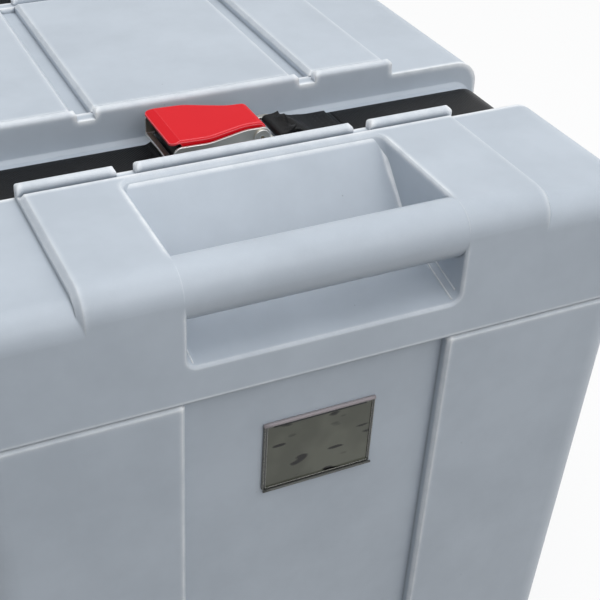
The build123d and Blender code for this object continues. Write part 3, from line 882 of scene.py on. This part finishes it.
@dataclass
class Strap:
    """One strap with its buckle: webbing that replaces the plain solids, and the buckle's own finishes."""

    place: Place
    half: float = 0.8 * MM
    shell_bend: float = 15.1 * MM
    bar_gap: float = 1.1 * MM
    dive_run: float = 7 * MM
    dive_bend: float = 5 * MM
    dive_drop: float = 3 * MM
    rail_bend: float = 4 * MM
    rise_drop: float = 4 * MM
    rise_run: float = 10 * MM
    rise_bend: float = 6 * MM
    tub_draft: float = math.radians(1.8)
    doubled: float = 1.9 * MM
    loop_bend: float = 2.18 * MM
    loop_arch: float = 2.2 * MM
    loop_ease: float = 12 * MM
    sewn_ease: float = 30 * MM
    gathered: float = 29 * MM
    stitch_level: float = 2.75 * MM

    def name(self, part: str) -> str:
        """A part's name on this strap."""
        return f"{part}_{self.place.value}"

    def run(self) -> tuple[float, float, float, float]:
        """The strap's middle in Y, its side in X, and its height on the lid and at the seam."""
        low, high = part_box(self.name("webbing_pull"))
        return (low.y + high.y) / 2, high.x - self.half, high.z - self.half, low.z

    def webbing(
        self, node: str, name: str, bends: list[Bend], centre_y: float, gather: Gather | None = None,
    ) -> Piece:
        """Lay webbing that stands for one plain solid.

        Args:
            node: the solid's node on either strap.
            name: the new piece's name on either strap.
            bends: its route.
            centre_y: the middle of the strap in Y.
            gather: how it is drawn together, or none.

        Returns:
            The webbing.
        """
        strap = Webbing(self.name(name), centre_y, bends, gather)
        if gather:
            strap.across = gather.across
        piece = strap.build()
        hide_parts(self.name(node))
        LOG.info("webbing %s", strap.name)
        return piece

    def build(self) -> None:
        """Lay every length of webbing and dress the buckle."""
        self.lay_pull()
        self.lay_adjust()
        self.lay_under()
        self.lay_loop()
        self.dress_buckle()

    def lay_pull(self) -> None:
        """Lay the length from the loop to the right side."""
        y, side, floor, seam = self.run()
        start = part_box(self.name("webbing_pull"))[0].x
        pull = self.webbing("webbing_pull", "strap_pull", [
            Bend(start, floor), Bend(side, floor, self.shell_bend), Bend(side, seam),
        ], y)
        self.name("tongue")
        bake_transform(pull)

    def lay_adjust(self) -> None:
        """Lay the length from the left side through the frame's window and round the adjuster bar."""
        y, side, floor, seam = self.run()
        bar_low, bar_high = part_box(self.name("adjuster_bar"))
        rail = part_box(self.name("buckle_frame"))[0].z
        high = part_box(self.name("webbing_adjust"))[1]
        wrap = (bar_high.x - bar_low.x) / 2 + self.bar_gap
        middle = (bar_low.x + bar_high.x) / 2
        left, right, top = middle - wrap, middle + wrap, high.z - self.half
        adjust = self.webbing("webbing_adjust", "strap_adjust", [
            Bend(-side, seam), Bend(-side, floor, self.shell_bend),
            Bend(left - self.dive_run, floor, self.dive_bend),
            Bend(left, rail - self.dive_drop, self.rail_bend),
            Bend(left, top, wrap), Bend(right, top, wrap),
            Bend(right, rail - self.rise_drop, self.rail_bend),
            Bend(right + self.rise_run, floor, self.rise_bend), Bend(high.x, floor),
        ], y)
        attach(adjust, "top")

    def lay_under(self) -> None:
        """Lay the length beneath the tub."""
        y = self.run()[0]
        low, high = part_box(self.name("webbing_under"))
        side, level = high.x - self.half, low.z + self.half
        foot = side - (high.z - low.z) * math.tan(self.tub_draft)
        under = self.webbing("webbing_under", "strap_under", [
            Bend(-side, high.z), Bend(-foot, level, self.shell_bend),
            Bend(foot, level, self.shell_bend), Bend(side, high.z),
        ], y)
        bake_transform(under)

    def lay_loop(self) -> None:
        """Lay the loop through the tongue's slot, gathered towards it, and sew its doubled end."""
        y, _, floor, _ = self.run()
        low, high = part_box(self.name("tongue_loop"))
        tongue_low, tongue_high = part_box(self.name("tongue"))
        pull_low, pull_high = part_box(self.name("webbing_pull"))
        inner, end, slot = low.x + self.half, high.x, tongue_high.x
        upper = high.z - self.half
        lower = tongue_low.z + tongue_high.z - upper
        level = floor + self.doubled
        loop = self.webbing("tongue_loop", "strap_loop", [
            Bend(end - 4 * MM, level), Bend(end - 26 * MM, level, self.sewn_ease),
            Bend(slot + 4 * MM, upper + self.loop_arch, 10 * MM),
            Bend(inner + 7 * MM, upper, self.loop_ease), Bend(inner, upper, self.loop_bend),
            Bend(inner, lower, self.loop_bend), Bend(slot + 2 * MM, lower, self.loop_ease),
            Bend(end - 30 * MM, floor, self.sewn_ease), Bend(end, floor),
        ], y, Gather(self.gathered, slot + 7 * MM, end - 22 * MM))
        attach(loop, self.name("tongue"))
        first = Vector((end - 24 * MM, pull_low.y, floor))
        last = Vector((end - 5 * MM, pull_high.y, floor + self.stitch_level))
        stitches = BoxStitch(self.name("strap_stitches"), first, last).build()
        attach(stitches, self.name("tongue"))

    def dress_buckle(self) -> None:
        """Plate the buckle's metal and enamel its lever."""
        for part in ("buckle_frame", "hinge_pin", "adjuster_bar", "tongue"):
            dress(NODES[self.name(part)], Slot.NICKEL)
        dress(NODES[self.name("buckle_lever")], Slot.ENAMEL)
        LOG.info("buckle %s", self.place.value)


@dataclass
class Bead:
    """A thin round line of material that follows a path."""

    name: str
    path: list[Vector]
    radius: float
    sides: int = 8

    def build(self) -> Piece:
        """Make the line.

        Returns:
            The line, closed at both ends.
        """
        points: list[Vector] = []
        last = len(self.path) - 1
        for i, point in enumerate(self.path):
            ahead = (self.path[min(i + 1, last)] - self.path[max(i - 1, 0)]).normalized()
            across = ahead.orthogonal().normalized()
            for k in range(self.sides):
                turn = Matrix.Rotation(2 * math.pi * k / self.sides, 3, ahead)
                points.append(point + turn @ across * self.radius)
        return mesh_object(self.name, points, tube_faces(len(self.path), self.sides))


@dataclass(frozen=True)
class InsertLine:
    """A line that the mould's insert left in a corner of the lower opening."""

    name: str
    x: float
    near: float
    far: float = 44 * MM


@dataclass
class GripPocket:
    """One end's hand pocket: the slope behind the grip, and the lines that the insert left in its corners.

    Rim, foot and buried are points of the slope's section: how far behind the
    outermost face, and how high.
    """

    end: Place
    lid: BVHTree
    front: float
    half_width: float = 84.4 * MM
    wall: float = 83.3 * MM
    cove: float = 3.2 * MM
    cove_turns: int = 6
    cove_fade: Span = (-0.05, 0.35)
    rim: tuple[float, float] = (106.2 * MM, 395.2 * MM)
    foot: tuple[float, float] = (69.2 * MM, 356.6 * MM)
    buried: tuple[tuple[float, float], ...] = (
        (109.2 * MM, 393.4 * MM), (87.0 * MM, 357.6 * MM), (70.1 * MM, 353.2 * MM),
    )
    rows: int = 13
    lines: tuple[InsertLine, ...] = (
        InsertLine("outer", 82.7 * MM, 6 * MM), InsertLine("inner", 79.4 * MM, 3 * MM),
    )
    line_radius: float = 0.5 * MM
    line_points: int = 14
    opening_top: float = 362 * MM

    def place(self, x: float, depth: float, z: float) -> Vector:
        """The point at a depth behind the end's outermost face."""
        sign = -1 if self.end is Place.FRONT else 1
        return Vector((x, sign * (self.front - depth), z))

    def slope(self) -> Piece:
        """Make the slope, coved up into the side walls.

        Returns:
            The slope.
        """
        half: list[tuple[float, float]] = [(self.half_width, 1.0)]
        for k in range(self.cove_turns, -1, -1):
            turn = k / self.cove_turns * math.pi / 2
            half.append((self.wall - self.cove + self.cove * math.sin(turn), 1 - math.cos(turn)))
        columns = half + [(-x, rise) for x, rise in reversed(half)]
        rows = self.rows
        run = Vector((0, self.foot[0] - self.rim[0], self.foot[1] - self.rim[1]))
        lean = Vector((0, run.z, -run.y)).normalized()
        points: list[Vector] = []
        for row in range(rows):
            share = row / (rows - 1)
            cove = self.cove * smooth_share(share, *self.cove_fade)
            for x, rise in columns:
                depth = self.rim[0] + run.y * share + lean.y * cove * rise
                z = self.rim[1] + run.z * share + lean.z * cove * rise
                points.append(self.place(x, depth, z))
        count = len(columns)
        faces = [
            (r * count + c, r * count + c + 1, (r + 1) * count + c + 1, (r + 1) * count + c)
            for r in range(rows - 1) for c in range(count - 1)
        ]
        near, last = len(points), len(self.buried) - 1
        points += [self.place(self.half_width, *p) for p in self.buried]
        far = len(points)
        points += [self.place(-self.half_width, *p) for p in self.buried]
        low = (rows - 1) * count
        faces.append((*range(count - 1, -1, -1), near, far))
        faces += [(near + k, near + k + 1, far + k + 1, far + k) for k in range(last)]
        faces.append((*range(low, low + count), far + last, near + last))
        faces.append((*(r * count for r in range(rows)), *range(near + last, near - 1, -1)))
        faces.append((*(r * count + count - 1 for r in range(rows - 1, -1, -1)), *range(far, far + last + 1)))
        return mesh_object(f"grip_slope_{self.end.value}", points, faces)

    def insert_line(self, line: InsertLine, side: int) -> Piece:
        """Lay one line along the opening's floor, where rays from above meet the lid.

        Args:
            line: which line.
            side: -1 for the left corner and 1 for the right.

        Returns:
            The line.
        """
        path: list[Vector] = []
        gaps = self.line_points - 1
        for k in range(self.line_points):
            depth = line.near + (line.far - line.near) * k / gaps
            start = self.place(side * line.x, depth, self.opening_top)
            found = self.lid.ray_cast(start, Vector((0, 0, -1)))[0]
            if found is not None:
                path.append(found)
        tag = "left" if side < 0 else "right"
        name = f"insert_line_{line.name}_{tag}_{self.end.value}"
        return Bead(name, path, self.line_radius).build()

    def build(self) -> None:
        """Make the slope and the corner lines of the lower opening."""
        pieces = [self.slope()]
        pieces += [self.insert_line(line, side) for side in (-1, 1) for line in self.lines]
        for piece in pieces:
            dress(piece, Slot.SHELL)
            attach(piece, "top")


class Shell:
    """The lid with its two grip pockets, the tub and the seal."""

    def build(self) -> None:
        """Dress lid, tub and seal, and finish the pockets."""
        dress(NODES["tub"], Slot.SHELL)
        dress(NODES["lid_seal"], Slot.SEAL)
        lid = dress(NODES["lid"], Slot.SHELL)
        grown = bmesh.new()
        grown.from_mesh(lid.data)
        grown.transform(lid.matrix_world)
        skin = BVHTree.FromBMesh(grown)
        grown.free()
        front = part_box("lid")[1].y
        for end in Place:
            GripPocket(end, skin, front).build()


@dataclass
class LabelHolder:
    """The holder on the front panel: its lips, its card and its window."""

    lip: float = 1.3 * MM
    lip_sides: int = 12
    lip_points: int = 13
    proud: float = 0.3 * MM
    # a near-black bead under the lip stands for its shadow: a painted shadow
    lip_shadow: float = 0.55 * MM
    lip_shadow_forward: float = 0.6 * MM
    lip_shadow_below: float = 0.2 * MM
    fold: float = 0.8 * MM
    fold_depth: float = 0.5 * MM

    def build(self) -> None:
        """Dress the three pieces, and add the rolled upper lip, a near-black bead under it as its painted
        shadow, and the lower fold.
        """
        dress(NODES["label_frame"], Slot.HOLDER)
        dress(NODES["label_card"], Slot.CARD)
        dress(NODES["label_window"], Slot.WINDOW)
        low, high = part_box("label_frame")
        y, z = low.y + self.lip - self.proud, high.z - self.lip + self.proud
        step = (high.x - low.x) / (self.lip_points - 1)
        path = [Vector((low.x + step * k, y, z)) for k in range(self.lip_points)]
        lip = Bead("label_rolled_lip", path, self.lip, self.lip_sides).build()
        lip.data.materials.append(ROLLED_LIP)
        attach(lip, "base")
        # painted shadow: a near-black bead under the rolled lip
        beneath = Vector((0, self.lip_shadow_forward, self.lip + self.lip_shadow_below))
        lip_shadow = Bead("label_lip_shadow", [p - beneath for p in path[1:-1]], self.lip_shadow).build()
        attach(dress(lip_shadow, Slot.SEAL), "base")
        foot = [Vector((p.x, low.y + self.fold_depth, low.z + self.fold)) for p in path]
        fold = Bead("label_lower_fold", foot, self.fold).build()
        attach(dress(fold, Slot.HOLDER), "base")
        LOG.info("label holder")


@dataclass
class FoamPad:
    """A block of cut foam with clipped corners and soft edges."""

    node: str
    body: str
    corner: float = 12 * MM
    edge: float = 4 * MM
    edge_segments: int = 3
    fill: float = 1.0

    def outline(self, low: Vector, high: Vector) -> list[tuple[float, float]]:
        """The pad's plan, within its solid's box."""
        cut = self.corner
        return [
            (low.x + cut, low.y), (high.x - cut, low.y), (high.x, low.y + cut), (high.x, high.y - cut),
            (high.x - cut, high.y), (low.x + cut, high.y), (low.x, high.y - cut), (low.x, low.y + cut),
        ]

    def build(self) -> None:
        """Make the pad and put it in its solid's place."""
        low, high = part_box(self.node)
        plan = self.outline(low, high)
        count = len(plan)
        points = [Vector((x, y, low.z)) for x, y in plan] + [Vector((x, y, high.z)) for x, y in plan]
        faces: list[tuple[int, ...]] = [tuple(range(count - 1, -1, -1)), tuple(range(count, 2 * count))]
        faces += [(k, (k + 1) % count, count + (k + 1) % count, count + k) for k in range(count)]
        pad = mesh_object(f"pad_{self.node}", points, faces)
        soft = bmesh.new()
        soft.from_mesh(pad.data)
        bmesh.ops.bevel(
            soft, geom=list(soft.edges), offset=self.edge, segments=self.edge_segments, profile=0.5,
            affect="EDGES",
        )
        soft.to_mesh(pad.data)
        soft.free()
        for polygon in pad.data.polygons:
            polygon.use_smooth = True
        dress(pad, Slot.FOAM)
        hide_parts(self.node)
        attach(pad, self.body)
        LOG.info("foam %s", self.node)


@dataclass
class Studio:
    """A pale floor, a white room, a soft roof of light and a weak softbox before the front."""

    floor_size: float = 14.0
    floor_colour: str = "#F8F8F8"
    bounce_colour: str = "#6C6C6C"
    glow_share: float = 0.8
    room_colour: Span = (0.97, 0.985, 1.0, 1.0)
    ambient: float = 0.72
    lean: float = 0.55
    lamps: tuple[tuple[str, float, float, Span], ...] = (
        ("roof", 19.0, 2.2, (-0.3, -0.1, 2.4)), ("front", 7.0, 1.2, (0.4, -1.7, 1.7)),
    )
    aim: Span = (0.0, 0.0, 0.3)

    def build(self) -> None:
        """Make the floor, the world and the lights."""
        self.floor()
        self.world()
        for lamp in self.lamps:
            self.light(*lamp)

    def floor(self) -> None:
        """Lay a floor that looks white and still takes the object's shadow."""
        bpy.ops.mesh.primitive_plane_add(size=self.floor_size)
        floor = bpy.context.object
        floor.name = "floor"
        material, tree = blank_material("white_sweep")
        path = add_node(tree, "LightPath").outputs
        seen = path["Is Camera Ray"]
        for ray in ("Is Glossy Ray", "Is Transmission Ray"):
            seen = add_node(tree, "Math", {"operation": "MAXIMUM"}, {0: seen, 1: path[ray]}).outputs[0]
        share = multiply(tree, seen, self.glow_share)
        colour = mix(tree, seen, linear(self.bounce_colour), linear(self.floor_colour))
        lit = add_node(tree, "BsdfDiffuse", None, {"Color": colour}).outputs[0]
        glow = add_node(tree, "Emission", None, {"Color": (1, 1, 1, 1), "Strength": 1.0}).outputs[0]
        close_with(tree, add_node(tree, "MixShader", None, {0: share, 1: lit, 2: glow}))
        floor.data.materials.append(material)

    def world(self) -> None:
        """Light the room from all round, more from the right, and show it white."""
        world = bpy.data.worlds.new("white_room")
        bpy.context.scene.world = world
        world.use_nodes = True
        world.node_tree.nodes.clear()
        tree = world.node_tree
        path = add_node(tree, "LightPath").outputs
        sight = add_node(tree, "TexCoord").outputs["Generated"]
        across = add_node(tree, "SeparateXYZ", None, {0: sight}).outputs["X"]
        glow = ramp(tree, across, -1, 1, self.ambient * (1 - self.lean), self.ambient * (1 + self.lean))
        shown = {"Factor": path["Is Camera Ray"], "A": glow, "B": 1.0}
        strength = add_node(tree, "Mix", {"data_type": "FLOAT"}, shown).outputs[0]
        inputs = {"Color": self.room_colour, "Strength": strength}
        room = add_node(tree, "Background", None, inputs).outputs[0]
        add_node(tree, "OutputWorld", None, {"Surface": room})

    def light(self, name: str, power: float, size: float, place: Span) -> None:
        """Hang one square softbox that faces the case.

        Args:
            name: the lamp's name.
            power: its power in watts.
            size: the side of the square, in metres.
            place: where its middle hangs.
        """
        data = bpy.data.lights.new(name, "AREA")
        data.energy = power
        data.size = size
        lamp = bpy.data.objects.new(name, data)
        bpy.context.scene.collection.objects.link(lamp)
        lamp.location = place
        lamp.rotation_mode = "QUATERNION"
        lamp.rotation_quaternion = (Vector(self.aim) - Vector(place)).to_track_quat("-Z", "Y")


@dataclass
class PhotographCamera:
    """The camera that stood at the front left corner, looking down across the handle."""

    place: Span = (-0.2595, -0.7762, 0.7306)
    yaw: float = 0.4272
    pitch: float = 0.6023
    roll: float = 0.0240
    focal_px: float = 1215.8
    picture_px: float = 600.0
    sensor_mm: float = 36.0
    shift_x: float = 0.0667
    shift_y: float = 0.005
    clip_start: float = 0.02
    clip_end: float = 60.0

    def build(self) -> None:
        """Make the camera and hand it to the scene."""
        ahead = Vector((math.sin(self.yaw), math.cos(self.yaw), 0))
        forward = ahead * math.cos(self.pitch) - Vector((0, 0, math.sin(self.pitch)))
        level = Vector((math.cos(self.yaw), -math.sin(self.yaw), 0))
        above = level.cross(forward)
        right = level * math.cos(self.roll) + above * math.sin(self.roll)
        up = -level * math.sin(self.roll) + above * math.cos(self.roll)
        data = bpy.data.cameras.new("photograph")
        data.sensor_width = self.sensor_mm
        data.lens = self.focal_px / self.picture_px * self.sensor_mm
        data.shift_x, data.shift_y = self.shift_x, self.shift_y
        data.clip_start, data.clip_end = self.clip_start, self.clip_end
        camera = bpy.data.objects.new("photograph", data)
        bpy.context.scene.collection.objects.link(camera)
        turned = Matrix((right, up, -forward)).transposed().to_4x4()
        camera.matrix_world = Matrix.Translation(Vector(self.place)) @ turned
        bpy.context.scene.camera = camera


def main() -> None:
    """Build and dress the whole trunk, then the room and the camera."""
    logging.basicConfig(level=logging.INFO)
    Shell().build()
    LabelHolder().build()
    for place in Place:
        Strap(place).build()
    FoamPad("foam_base", "base").build()
    FoamPad("foam_lid", "top").build()
    Studio().build()
    PhotographCamera().build()
    bpy.context.scene.view_settings.view_transform = "Standard"


if __name__ == "__main__":
    main()
